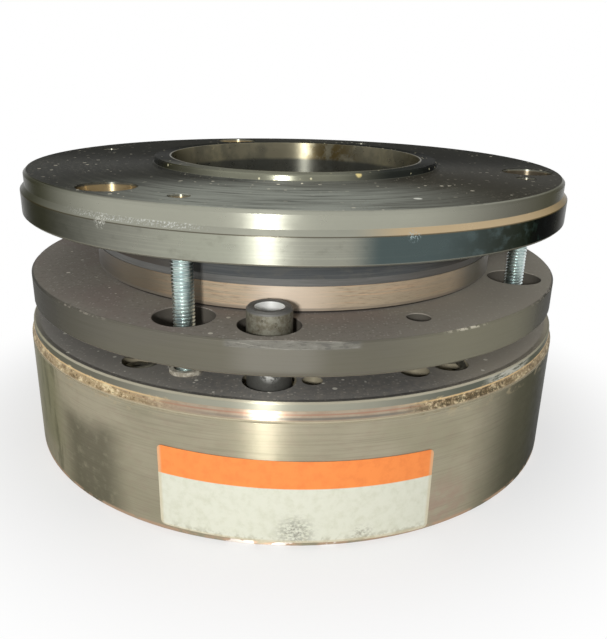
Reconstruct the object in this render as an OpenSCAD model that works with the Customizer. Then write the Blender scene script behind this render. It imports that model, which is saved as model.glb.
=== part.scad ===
// Spring-applied electromagnetic disc brake, standing on its magnet body with the flange upward.
// The brake axis is +Z, the underside of the magnet body is z = 0 and the fixing screws are backed off,
// so that the springs hold the armature plate, and the rotor on it, clear of the pole face.

/* [Magnet body] */
// outside diameter of the magnet body
body_d = 150; // [148:1:156]
// height of the magnet body
body_h = 35; // [34:0.5:38]
// thickness of the floor under the coil slot
floor_t = 12; // [11:0.5:13]
// clearance bore for the shaft end
body_bore_d = 40; // [36:1:41]
// width of the outer pole ring, which takes the screws, sleeves and springs
pole_ring_w = 22; // [21.5:0.25:23]
// width of the coil slot
slot_w = 14; // [13:0.5:15]
// distance of the screws and sleeves from the outside of the magnet body
hole_inset = 11.5; // [11.25:0.25:12]
// distance of the springs from the outside of the magnet body
spring_inset = 11; // [10.5:0.25:11.5]
// height of the worn bevel and collar that close the outer wall
rim_h = 4.2; // [3.6:0.2:5]
// how far the top collar stands back from the outer wall
rim_step = 0.7; // [0.4:0.1:1]
// width of the turned groove under the bevel
groove_w = 0.5; // [0.3:0.1:0.8]

/* [Coil] */
// wall thickness of the coil bobbin
bobbin_wall = 1.2; // [0.8:0.1:1.5]
// free space between the bobbin and the slot walls
bobbin_clear = 0.2; // [0.1:0.05:0.4]
// thickness of the sealing compound above the bobbin
potting_t = 3; // [2:0.25:4]
// how far the sealing compound stays below the pole face
potting_drop = 0.5; // [0.3:0.1:1]

/* [Cable inlet] */
// height of the inlet above the underside
inlet_z = 17.5; // [16.5:0.5:20]
// diameter of the inlet hole through the wall
inlet_d = 9; // [8:0.5:9.5]
// diameter of the grommet head
grommet_d = 11; // [10.5:0.25:12]
// bore of the grommet
grommet_bore_d = 5; // [4:0.25:6]

/* [Label] */
// height of the label
label_h = 20.2; // [18:0.2:24]
// height of the label's lower edge above the underside
label_z = 1.4; // [1:0.1:2.5]
// angle that the label covers on the wall
label_angle = 47.5; // [40:0.5:60]
// thickness of the label
label_t = 0.12; // [0.1:0.01:0.2]

/* [Small blind hole] */
// diameter of the blind hole beside the front sleeve
blind_d = 4.6; // [4:0.1:5]
// depth of that hole
blind_h = 8; // [6:0.5:9]

/* [Armature plate] */
// thickness of the armature plate
armature_t = 7.7; // [7:0.1:8.5]
// gap between the pole face and the armature plate with the screws backed off
armature_gap = 5.2; // [4.8:0.1:5.6]
// how much smaller than the magnet body the armature plate is, on the radius
armature_margin = 1.5; // [1:0.25:2]
// bore of the armature plate
armature_bore_d = 46; // [45:0.5:48]
// clearance holes round the fixing screws
screw_window_d = 14; // [13:0.5:15]
// clearance holes round the guide sleeves
sleeve_window_d = 14; // [12.5:0.25:14.5]
// holes for the hand release bolts
release_d = 5.6; // [5:0.2:6]
// width of the bevel cut on the front edge of the plate
bevel_w = 26; // [18:1:28]
// height of that bevel
bevel_h = 1.5; // [1.25:0.25:2.5]

/* [Rotor] */
// free space between the rotor and the guide sleeves
rotor_space = 2.5; // [2:0.25:4]
// thickness of each friction lining
lining_t = 6.2; // [5.6:0.1:6.6]
// thickness of the steel carrier disc
carrier_t = 1.7; // [1.4:0.1:2.2]
// width of the friction linings
lining_w = 22; // [19:0.5:25]

/* [Hub] */
// number of splines
spline_n = 24; // [20:1:28]
// diameter over the splines
hub_d = 42; // [41:0.25:43]
// depth of the splines
spline_depth = 1.8; // [1.4:0.1:2]
// running clearance of the splines
spline_clear = 0.07; // [0.05:0.01:0.09]
// length of the hub
hub_l = 23; // [22:0.5:26]
// bore of the hub
hub_bore_d = 20; // [18:1:22]
// width of the keyway
keyway_w = 6; // [5:0.5:6]
// depth of the keyway from the bore wall
keyway_t = 2.8; // [2.3:0.1:3]

/* [Springs] */
// diameter of the spring pockets
pocket_d = 9; // [8.8:0.1:9.2]
// outside diameter of the springs
spring_d = 8.2; // [7.8:0.1:8.4]
// wire diameter of the springs
wire_d = 1.7; // [1.5:0.1:1.8]
// coils of each spring
spring_turns = 7; // [6:1:7]
// height of the pocket floor above the underside
pocket_z = 16; // [14:0.5:18]

/* [Guide sleeves] */
// outside diameter of the guide sleeves
sleeve_d = 10; // [9.6:0.1:10.8]
// bore of the guide sleeves
sleeve_bore_d = 6.4; // [6.2:0.1:6.6]
// how far the sleeves stand above the armature plate
sleeve_above = 4.3; // [3.6:0.1:5.5]

/* [Fixing screws] */
// thread diameter of the fixing screws
screw_d = 5; // [4.8:0.1:5]
// length of the fixing screws under the head
screw_l = 60; // [60:0.5:61.5]
// head diameter of the fixing screws
head_d = 8.5; // [8:0.25:9]
// head height of the fixing screws
head_h = 5; // [4:0.25:5]
// width across the flats of the socket
socket_af = 4; // [3:0.5:4]
// outside diameter of the white bushes round the screws
bush_d = 7.6; // [7:0.1:8]

/* [Flange] */
// space between the rotor and the flange with the screws backed off
flange_space = 1.4; // [1:0.1:2]
// how much smaller than the magnet body the flange is, on the radius
flange_margin = 1; // [0:0.25:2]
// thickness of the flange at its wide rim
rim_t = 6.9; // [6:0.1:8]
// height of the narrower step above the rim
step_h = 3.8; // [3:0.1:5]
// how far the step stands back from the rim
step_in = 1.1; // [0.8:0.1:2]
// height of the collar round the bore
collar_h = 2; // [1.5:0.25:3]
// outside diameter of the collar
collar_d = 79; // [77:0.5:82]
// bore of the flange
flange_bore_d = 70; // [68:1:72]
// diameter of the large fixing holes
flange_hole_d = 13.5; // [12:0.25:14]
// distance of the large fixing holes from the outside of the flange
flange_hole_inset = 10; // [9.5:0.25:11]

/* [Hidden] */
$fn = 96;
eps = 0.5;

// hole circles and the angles of what stands on them
body_r = body_d / 2;
flange_r = body_r - flange_margin;
hole_r = body_r - hole_inset;
spring_r = body_r - spring_inset;
flange_hole_r = flange_r - flange_hole_inset;
screw_angles = [-112, -22, 68, 158];
sleeve_angles = [-94.5, 25.5, 145.5];
flange_hole_angles = [-130, -10, 110];
release_angles = [-64, 116];
spring_angles = [-123, -55, 2, 53, 127, 178];
blind_angle = -86;

// magnet body
base_chamfer = 0.6;
edge_chamfer = 0.4;
adhesive_t = 0.05;
bevel_top_z = body_h - 2;
bevel_low_z = body_h - rim_h + 0.4;
groove_z = bevel_low_z - 0.8;
groove_depth = 0.4;
slot_out_r = body_r - pole_ring_w;
slot_in_r = slot_out_r - slot_w;
counterbore_h = 7;
counterbore_d = head_d + 1.5;
screw_clear = 0.5;
thread_clear = 0.03;
release_body_d = 7;
recess_h = 1.5;
recess_d = 12;

// coil
bobbin_in_r = slot_in_r + bobbin_clear;
bobbin_out_r = slot_out_r - bobbin_clear;
potting_top = body_h - potting_drop;
bobbin_top = potting_top - potting_t;
winding_out_r = bobbin_out_r - bobbin_wall;

// stack above the pole face
armature_z = body_h + armature_gap;
armature_top = armature_z + armature_t;
armature_r = body_r - armature_margin;
bevel_block = 20;
rotor_r = hole_r - sleeve_d / 2 - rotor_space;
lining_bore_r = rotor_r - lining_w;
carrier_in = 0.2;
lining_chamfer = 0.6;
rotor_z = armature_top;
carrier_z = rotor_z + lining_t;
lining_top_z = carrier_z + carrier_t;
rotor_top = lining_top_z + lining_t;
flange_z = rotor_top + flange_space;
ledge_z = flange_z + rim_t;
flange_top = ledge_z + step_h;
collar_top = flange_top + collar_h;

// cable inlet
grommet_seat = 3.5;
grommet_sunk = 0.6;
grommet_seat_r = body_r - grommet_seat;
grommet_face_r = body_r - grommet_sunk;

// guide sleeves
sleeve_z = 14;
sleeve_top = armature_top + sleeve_above;

// fixing screws
bush_deep = 6;
bush_above = 1;
bush_z = body_h - bush_deep;
tip_chamfer = 0.8;

// places its child at every angle of a list on one circle
module around(radius, angles) {
    for (a = angles)
        rotate([0, 0, a])
            translate([radius, 0, 0])
                children();
}

// upright hole or rod between two heights
module post(d, low, high) {
    translate([0, 0, low])
        cylinder(d = d, h = high - low);
}

// ring with square edges between two heights
module ring(inner_r, outer_r, low, high) {
    rotate_extrude()
        polygon([[inner_r, low], [outer_r, low], [outer_r, high], [inner_r, high]]);
}

// turned outside of the magnet body with its groove, worn bevel and top collar
module body_blank() {
    rotate_extrude()
        polygon([
            [body_bore_d / 2, 0.5],
            [body_bore_d / 2 + 0.5, 0],
            [body_r - base_chamfer, 0],
            [body_r, base_chamfer],
            [body_r, groove_z],
            [body_r - groove_depth, groove_z + groove_w / 4],
            [body_r - groove_depth, groove_z + groove_w * 3 / 4],
            [body_r, groove_z + groove_w],
            [body_r, bevel_low_z],
            [body_r - rim_step, bevel_top_z],
            [body_r - rim_step, body_h - edge_chamfer],
            [body_r - rim_step - edge_chamfer, body_h],
            [slot_out_r, body_h],
            [slot_out_r, floor_t],
            [slot_in_r, floor_t],
            [slot_in_r, body_h],
            [body_bore_d / 2 + 0.5, body_h],
            [body_bore_d / 2, body_h - 0.5]
        ]);
}

// steel magnet body with the coil slot, screw holes, sleeve seats and spring pockets
module magnet_body() {
    color([0.56, 0.54, 0.47])
        difference() {
            body_blank();
            around(hole_r, screw_angles) {
                post(screw_d + screw_clear, -eps, body_h + eps);
                post(counterbore_d, -eps, counterbore_h);
                post(bush_d, bush_z, body_h + eps);
            }
            around(hole_r, sleeve_angles) {
                post(sleeve_bore_d, -eps, body_h);
                post(sleeve_d + 2 * thread_clear, sleeve_z, body_h + eps);
                post(recess_d, body_h - recess_h, body_h + eps);
            }
            around(hole_r, release_angles)
                post(release_body_d, -eps, body_h + eps);
            around(spring_r, spring_angles)
                post(pocket_d, pocket_z, body_h + eps);
            around(hole_r, [blind_angle])
                post(blind_d, body_h - blind_h, body_h + eps);
            translate([0, slot_out_r - eps, inlet_z])
                rotate([-90, 0, 0])
                    cylinder(d = inlet_d, h = body_r - slot_out_r + 2 * eps);
            translate([0, grommet_seat_r, inlet_z])
                rotate([-90, 0, 0])
                    cylinder(d = grommet_d + 0.4, h = body_r - grommet_seat_r + eps);
        }
}

// moulded bobbin with two cheeks, open on its outside
module coil_bobbin() {
    color([0.86, 0.84, 0.78])
        rotate_extrude()
            polygon([
                [bobbin_in_r, floor_t],
                [bobbin_out_r, floor_t],
                [bobbin_out_r, floor_t + bobbin_wall],
                [bobbin_in_r + bobbin_wall, floor_t + bobbin_wall],
                [bobbin_in_r + bobbin_wall, bobbin_top - bobbin_wall],
                [bobbin_out_r, bobbin_top - bobbin_wall],
                [bobbin_out_r, bobbin_top],
                [bobbin_in_r, bobbin_top]
            ]);
}

// copper winding between the bobbin cheeks
module coil_winding() {
    color([0.62, 0.32, 0.16])
        ring(bobbin_in_r + bobbin_wall, winding_out_r, floor_t + bobbin_wall, bobbin_top - bobbin_wall);
}

// sealing compound that closes the coil slot under the pole face
module coil_potting() {
    color([0.16, 0.15, 0.14])
        ring(slot_in_r, slot_out_r, bobbin_top, potting_top);
}

// rubber grommet in the cable inlet of the wall
module cable_grommet() {
    color([0.08, 0.08, 0.08])
        difference() {
            union() {
                translate([0, slot_out_r + 1, inlet_z])
                    rotate([-90, 0, 0])
                        cylinder(d = inlet_d, h = grommet_seat_r - slot_out_r - 0.5);
                translate([0, grommet_seat_r, inlet_z])
                    rotate([-90, 0, 0])
                        cylinder(d = grommet_d, h = grommet_face_r - grommet_seat_r);
            }
            translate([0, slot_out_r, inlet_z])
                rotate([-90, 0, 0])
                    cylinder(d = grommet_bore_d, h = body_r - slot_out_r + eps);
        }
}

// foil label bent round the front of the wall
module rating_label() {
    color([0.8, 0.77, 0.68])
        rotate([0, 0, -89 - label_angle / 2])
            translate([0, 0, label_z])
                rotate_extrude(angle = label_angle)
                    translate([body_r + adhesive_t, 0])
                        square([label_t, label_h]);
}

// flat steel armature plate with a bevel on its front edge
module armature_plate() {
    bevel_in = bevel_w * bevel_w / (8 * armature_r);
    color([0.42, 0.4, 0.37])
        difference() {
            rotate_extrude()
                polygon([
                    [armature_bore_d / 2, armature_z],
                    [armature_r - edge_chamfer, armature_z],
                    [armature_r, armature_z + edge_chamfer],
                    [armature_r, armature_top - edge_chamfer],
                    [armature_r - edge_chamfer, armature_top],
                    [armature_bore_d / 2, armature_top]
                ]);
            around(hole_r, screw_angles)
                post(screw_window_d, armature_z - eps, armature_top + eps);
            around(hole_r, sleeve_angles)
                post(sleeve_window_d, armature_z - eps, armature_top + eps);
            around(hole_r, release_angles)
                post(release_d, armature_z - eps, armature_top + eps);
            translate([0, -armature_r + bevel_in, armature_top])
                rotate([-atan2(bevel_in, bevel_h), 0, 0])
                    translate([-bevel_w, -bevel_block, -bevel_block / 2])
                        cube([2 * bevel_w, bevel_block, bevel_block]);
        }
}

// one pressure spring with closed ends, standing on its pocket floor under the plate
module pressure_spring(angle) {
    sides = 6;
    steps = 12;
    coil_r = (spring_d - wire_d) / 2;
    low = pocket_z + wire_d / 2;
    rise = armature_z - pocket_z - wire_d;
    closed = wire_d * 1.08;
    open_pitch = (rise - 2 * closed) / (spring_turns - 2);
    count = spring_turns * steps;
    rings = [for (i = [0 : count])
        let (t = i / steps,
             z = t < 1 ? t * closed
                 : t > spring_turns - 1 ? rise - (spring_turns - t) * closed
                 : closed + (t - 1) * open_pitch,
             turn = t * 360)
        [for (k = [0 : sides - 1])
            let (a = k * 360 / sides,
                 r = coil_r + wire_d / 2 * cos(a))
            [r * cos(turn), r * sin(turn), low + z + wire_d / 2 * sin(a)]]];
    points = [for (section = rings) for (p = section) p];
    walls = [for (i = [0 : count - 1]) for (k = [0 : sides - 1])
        let (n = (k + 1) % sides)
        [i * sides + k, i * sides + n, (i + 1) * sides + n, (i + 1) * sides + k]];
    first = [[for (k = [sides - 1 : -1 : 0]) k]];
    last = [[for (k = [0 : sides - 1]) count * sides + k]];
    color([0.6, 0.6, 0.62])
        rotate([0, 0, angle])
            translate([spring_r, 0, 0])
                polyhedron(points = points, faces = concat(walls, first, last));
}

module pressure_spring_1() {
    pressure_spring(spring_angles[0]);
}

module pressure_spring_2() {
    pressure_spring(spring_angles[1]);
}

module pressure_spring_3() {
    pressure_spring(spring_angles[2]);
}

module pressure_spring_4() {
    pressure_spring(spring_angles[3]);
}

module pressure_spring_5() {
    pressure_spring(spring_angles[4]);
}

module pressure_spring_6() {
    pressure_spring(spring_angles[5]);
}

// outline of the spline teeth, grown by a clearance for the carrier's bore
function spline_outline(grow) =
    let (tip_r = hub_d / 2,
         root_r = tip_r - spline_depth,
         tip_half = 360 / spline_n * 0.17,
         root_half = 360 / spline_n * 0.29,
         add = grow / tip_r * 180 / PI)
    [for (i = [0 : spline_n - 1])
        for (corner = [[root_r, -root_half - add], [tip_r, -tip_half - add],
                       [tip_r, tip_half + add], [root_r, root_half + add]])
            let (a = i * 360 / spline_n + corner[1])
            [(corner[0] + grow) * cos(a), (corner[0] + grow) * sin(a)]];

// steel carrier disc of the rotor with its splined bore
module rotor_carrier() {
    color([0.36, 0.36, 0.36])
        difference() {
            post(2 * (rotor_r - carrier_in), carrier_z, lining_top_z);
            translate([0, 0, carrier_z - eps])
                linear_extrude(carrier_t + 2 * eps)
                    polygon(spline_outline(spline_clear));
        }
}

// friction lining that lies on the armature plate
module lower_lining() {
    color([0.55, 0.5, 0.4])
        rotate_extrude()
            polygon([
                [lining_bore_r, rotor_z],
                [rotor_r - lining_chamfer, rotor_z],
                [rotor_r, rotor_z + lining_chamfer],
                [rotor_r, carrier_z],
                [lining_bore_r, carrier_z]
            ]);
}

// friction lining that faces the flange
module upper_lining() {
    color([0.5, 0.45, 0.36])
        rotate_extrude()
            polygon([
                [lining_bore_r, lining_top_z],
                [rotor_r, lining_top_z],
                [rotor_r, rotor_top - lining_chamfer],
                [rotor_r - lining_chamfer, rotor_top],
                [lining_bore_r, rotor_top]
            ]);
}

// splined steel hub with its keyed bore
module splined_hub() {
    color([0.5, 0.5, 0.5])
        difference() {
            translate([0, 0, body_h])
                linear_extrude(hub_l)
                    polygon(spline_outline(0));
            post(hub_bore_d, body_h - eps, body_h + hub_l + eps);
            translate([0, -keyway_w / 2, body_h - eps])
                cube([hub_bore_d / 2 + keyway_t, keyway_w, hub_l + 2 * eps]);
        }
}

// hollow guide sleeve screwed into the pole face, chamfered at its top
module guide_sleeve(angle) {
    inner = sleeve_bore_d / 2;
    outer = sleeve_d / 2;
    color([0.5, 0.5, 0.48])
        rotate([0, 0, angle])
            translate([hole_r, 0, 0])
                rotate_extrude()
                    polygon([
                        [inner, sleeve_z],
                        [outer, sleeve_z],
                        [outer, sleeve_top - 0.5],
                        [outer - 0.5, sleeve_top],
                        [inner + 0.3, sleeve_top],
                        [inner, sleeve_top - 0.3]
                    ]);
}

module guide_sleeve_1() {
    guide_sleeve(sleeve_angles[0]);
}

module guide_sleeve_2() {
    guide_sleeve(sleeve_angles[1]);
}

module guide_sleeve_3() {
    guide_sleeve(sleeve_angles[2]);
}

// white bushes that centre the fixing screws in the pole face
module screw_bushes() {
    color([0.88, 0.87, 0.82])
        around(hole_r, screw_angles)
            ring((screw_d + screw_clear) / 2, bush_d / 2, bush_z, body_h + bush_above);
}

// long socket screws from the underside of the magnet body into the flange
module fixing_screws() {
    color([0.72, 0.74, 0.76])
        around(hole_r, screw_angles)
            difference() {
                union() {
                    post(head_d, counterbore_h - head_h, counterbore_h);
                    post(screw_d - 2 * thread_clear, counterbore_h, counterbore_h + screw_l - tip_chamfer);
                    translate([0, 0, counterbore_h + screw_l - tip_chamfer])
                        cylinder(d1 = screw_d - 2 * thread_clear, d2 = screw_d - 2 * tip_chamfer,
                                 h = tip_chamfer);
                }
                translate([0, 0, counterbore_h - head_h - eps])
                    cylinder(d = socket_af / cos(30), h = head_h / 2 + eps, $fn = 6);
            }
}

// turned steel flange with a stepped rim, a collar round its bore, tapped holes and large fixing holes
module flange() {
    color([0.3, 0.31, 0.31])
        difference() {
            rotate_extrude()
                polygon([
                    [flange_bore_d / 2, flange_z],
                    [flange_r - edge_chamfer, flange_z],
                    [flange_r, flange_z + edge_chamfer],
                    [flange_r, ledge_z - 1],
                    [flange_r - step_in, ledge_z + 0.2],
                    [flange_r - step_in, flange_top - 0.8],
                    [flange_r - step_in - 0.8, flange_top],
                    [collar_d / 2 + 0.8, flange_top],
                    [collar_d / 2 + 0.2, flange_top + 0.6],
                    [collar_d / 2, collar_top - 0.3],
                    [collar_d / 2 - 0.3, collar_top],
                    [flange_bore_d / 2, collar_top]
                ]);
            around(hole_r, screw_angles)
                post(screw_d, flange_z - eps, flange_top + eps);
            around(hole_r, sleeve_angles)
                post(screw_d, flange_z - eps, flange_z + rim_t);
            around(flange_hole_r, flange_hole_angles)
                post(flange_hole_d, flange_z - eps, flange_top + eps);
        }
}

magnet_body();
coil_bobbin();
coil_winding();
coil_potting();
cable_grommet();
rating_label();
armature_plate();
pressure_spring_1();
pressure_spring_2();
pressure_spring_3();
pressure_spring_4();
pressure_spring_5();
pressure_spring_6();
rotor_carrier();
lower_lining();
upper_lining();
splined_hub();
guide_sleeve_1();
guide_sleeve_2();
guide_sleeve_3();
screw_bushes();
fixing_screws();
flange();
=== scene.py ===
import math
import bpy
from mathutils import Matrix, Vector


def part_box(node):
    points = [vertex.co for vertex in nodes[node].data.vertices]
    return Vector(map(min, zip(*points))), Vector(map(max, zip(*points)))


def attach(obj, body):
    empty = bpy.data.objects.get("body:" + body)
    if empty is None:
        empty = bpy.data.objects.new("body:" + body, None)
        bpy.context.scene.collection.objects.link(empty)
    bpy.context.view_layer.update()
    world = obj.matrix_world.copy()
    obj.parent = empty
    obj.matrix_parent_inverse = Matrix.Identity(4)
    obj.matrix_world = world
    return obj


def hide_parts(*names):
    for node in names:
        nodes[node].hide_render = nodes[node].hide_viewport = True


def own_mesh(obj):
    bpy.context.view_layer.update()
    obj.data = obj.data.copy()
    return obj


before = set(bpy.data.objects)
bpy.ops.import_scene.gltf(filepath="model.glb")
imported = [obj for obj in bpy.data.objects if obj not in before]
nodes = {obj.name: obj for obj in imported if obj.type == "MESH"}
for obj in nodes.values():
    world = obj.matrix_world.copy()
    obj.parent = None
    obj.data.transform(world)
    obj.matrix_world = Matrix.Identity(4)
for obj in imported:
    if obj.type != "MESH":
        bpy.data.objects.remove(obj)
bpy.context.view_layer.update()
mm = 0.001

# The bench and its light. A plain pale floor carries the brake, keeps its shadow and fades to white away
# from it, with a white surround. One soft lamp stands left of the camera, so that the upright turned walls
# shine in one stripe, and an even soft light fills the rest.
def seen_rays(tree):
    """1 where the camera looks, straight or in a shiny or clear surface."""
    ray = tree.nodes.new("ShaderNodeLightPath")
    seen = ray.outputs["Is Camera Ray"]
    for way in ("Is Glossy Ray", "Is Transmission Ray"):
        either = tree.nodes.new("ShaderNodeMath")
        either.operation = "MAXIMUM"
        tree.links.new(seen, either.inputs[0])
        tree.links.new(ray.outputs[way], either.inputs[1])
        seen = either.outputs[0]
    return seen


white, white_level, soft_level = (1, 1, 1, 1), 1, 0.36
surround = bpy.data.worlds.new("white_surround")
bpy.context.scene.world = surround
surround.use_nodes = True
sky = surround.node_tree
sky.nodes.clear()
seen_white = sky.nodes.new("ShaderNodeBackground")
seen_white.inputs["Strength"].default_value = white_level
soft_light = sky.nodes.new("ShaderNodeBackground")
soft_light.inputs["Strength"].default_value = soft_level
for background in (seen_white, soft_light):
    background.inputs["Color"].default_value = white
either = sky.nodes.new("ShaderNodeMixShader")
sky_out = sky.nodes.new("ShaderNodeOutputWorld")
sky.links.new(seen_rays(sky), either.inputs[0])
sky.links.new(soft_light.outputs[0], either.inputs[1])
sky.links.new(seen_white.outputs[0], either.inputs[2])
sky.links.new(either.outputs[0], sky_out.inputs["Surface"])

bench_size, bench_drop, bench_pale = 3, 0.2 * mm, (0.86, 0.86, 0.85, 1)
shadow_near, shadow_far, white_share = 66 * mm, 122 * mm, 0.55
bpy.ops.object.select_all(action="DESELECT")
bpy.ops.mesh.primitive_plane_add(size=bench_size, location=(0, 0, -bench_drop))
bench = bpy.context.object
bench.name = "bench_top"
bpy.ops.object.transform_apply(location=True)
bench_white = bpy.data.materials.new("bench_white")
bench_white.use_nodes = True
tree = bench_white.node_tree
matt = tree.nodes["Principled BSDF"]
matt.inputs["Base Color"].default_value = bench_pale
matt.inputs["Roughness"].default_value = 0.9
matt.inputs["Specular IOR Level"].default_value = 0.1
white_glow = tree.nodes.new("ShaderNodeEmission")
white_glow.inputs["Color"].default_value = white
white_glow.inputs["Strength"].default_value = white_level
place = tree.nodes.new("ShaderNodeTexCoord")
away = tree.nodes.new("ShaderNodeVectorMath")
away.operation = "LENGTH"
fade = tree.nodes.new("ShaderNodeMapRange")
fade.interpolation_type = "SMOOTHSTEP"
fade.inputs["From Min"].default_value = shadow_near
fade.inputs["From Max"].default_value = shadow_far
fade.inputs["To Min"].default_value = white_share
share = tree.nodes.new("ShaderNodeMath")
share.operation = "MULTIPLY"
floor_mix = tree.nodes.new("ShaderNodeMixShader")
tree.links.new(place.outputs["Object"], away.inputs[0])
tree.links.new(away.outputs["Value"], fade.inputs["Value"])
tree.links.new(seen_rays(tree), share.inputs[0])
tree.links.new(fade.outputs[0], share.inputs[1])
tree.links.new(share.outputs[0], floor_mix.inputs[0])
tree.links.new(matt.outputs[0], floor_mix.inputs[1])
tree.links.new(white_glow.outputs[0], floor_mix.inputs[2])
tree.links.new(floor_mix.outputs[0], tree.nodes["Material Output"].inputs["Surface"])
bench.data.materials.append(bench_white)

lamp_size, lamp_watts = 50 * mm, 1.22
lamp_spot, lamp_aim = (-0.070, -0.42, 0.155), (0, 0, 0.04)
lamp_data = bpy.data.lights.new("soft_lamp", "AREA")
lamp_data.shape = "DISK"
lamp_data.size = lamp_size
lamp_data.energy = lamp_watts
lamp = bpy.data.objects.new("soft_lamp", lamp_data)
bpy.context.collection.objects.link(lamp)
lamp.location = lamp_spot
lamp.rotation_euler = (Vector(lamp_aim) - lamp.location).to_track_quat("-Z", "Y").to_euler()

# The camera stands close in front of the brake and looks down on it by about twenty degrees, a little to
# the right and leaned by about one degree. Its three angles are in radians.
sensor_mm, lens_mm, camera_spot = 36, 38.685, (0, -0.20007, 0.09858)
look_down, look_aside, lean = 0.3468, 0.0161, 0.0224
camera_data = bpy.data.cameras.new("camera")
camera_data.sensor_fit = "AUTO"
camera_data.sensor_width = sensor_mm
camera_data.lens = lens_mm
camera_data.clip_start = 0.01
camera = bpy.data.objects.new("camera", camera_data)
bpy.context.collection.objects.link(camera)
forward = Vector((math.sin(look_aside) * math.cos(look_down),
                  math.cos(look_aside) * math.cos(look_down), -math.sin(look_down)))
level = Vector((math.cos(look_aside), -math.sin(look_aside), 0))
upward = level.cross(forward)
right = level * math.cos(lean) + upward * math.sin(lean)
top = upward * math.cos(lean) - level * math.sin(lean)
facing = Matrix((right, top, -forward)).transposed().to_4x4()
camera.matrix_world = Matrix.Translation(camera_spot) @ facing
bpy.context.scene.camera = camera
bpy.context.scene.view_settings.view_transform = "Standard"

# The magnet body is one turned steel cup, zinc plated with a yellowish passivation that has gone dull.
# Its pole face is grey with brake dust, the bevel under the rim is rubbed down to coppery bright metal with
# dirt crusted on it at the sides, and handling has left a dark smear, scratches and a worn foot.
def shade(red, green, blue):
    """A colour written as it looks on a screen, 0 to 255."""
    seen = [level / 255 for level in (red, green, blue)]
    return tuple(s / 12.92 if s <= 0.0404 else ((s + 0.055) / 1.055) ** 2.4 for s in seen)


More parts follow.
